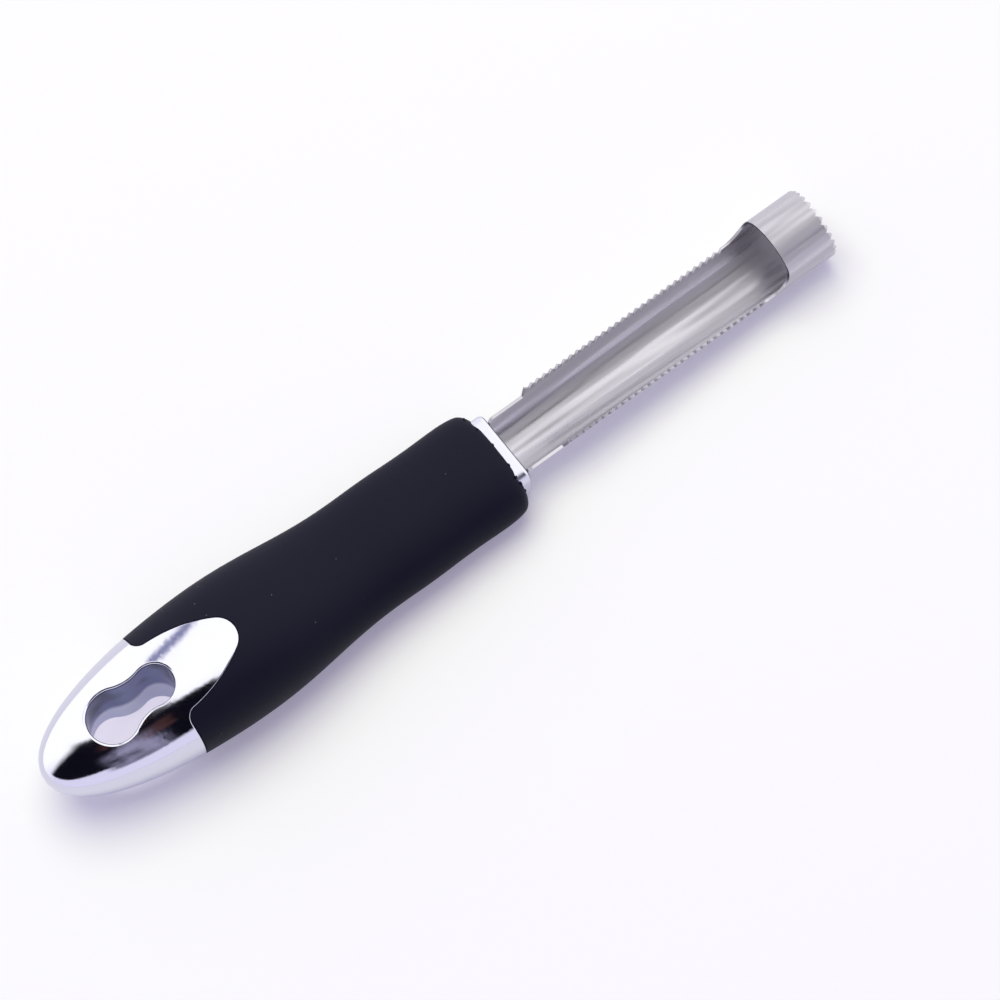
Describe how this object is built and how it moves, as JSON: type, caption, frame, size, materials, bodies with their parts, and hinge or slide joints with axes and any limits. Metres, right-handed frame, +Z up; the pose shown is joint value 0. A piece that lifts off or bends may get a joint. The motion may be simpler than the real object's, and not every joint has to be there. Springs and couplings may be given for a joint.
{
  "type": "fruit corer",
  "caption": "Hand corer with an open toothed trough blade ending in a serrated cutting ring, a bright collar, a soft oval grip and a bright end cap with a keyhole-shaped hang hole.",
  "frame": {"origin": "centre of the bounding box in X and Y, on the surface that the corer rests on", "axes": "+X from the tail to the cutting ring, +Y across the handle, +Z up, with the trough's open side up"},
  "size_m": [0.2323, 0.0366, 0.025],
  "materials": {
    "stainless_blade": "polished stainless sheet with faint lengthwise grain",
    "bright_collar": "mirror chrome plating",
    "moulded_core": "plain moulded plastic, hidden inside the grip",
    "soft_grip": "matte soft-touch rubber with a slight sheen",
    "bright_cap": "mirror chrome plating over moulded plastic"
  },
  "bodies": {
    "root": {"blade": "stainless_blade", "front_collar": "bright_collar", "inner_core": "moulded_core", "soft_grip": "soft_grip", "end_cap": "bright_cap"}
  },
  "joints": []
}
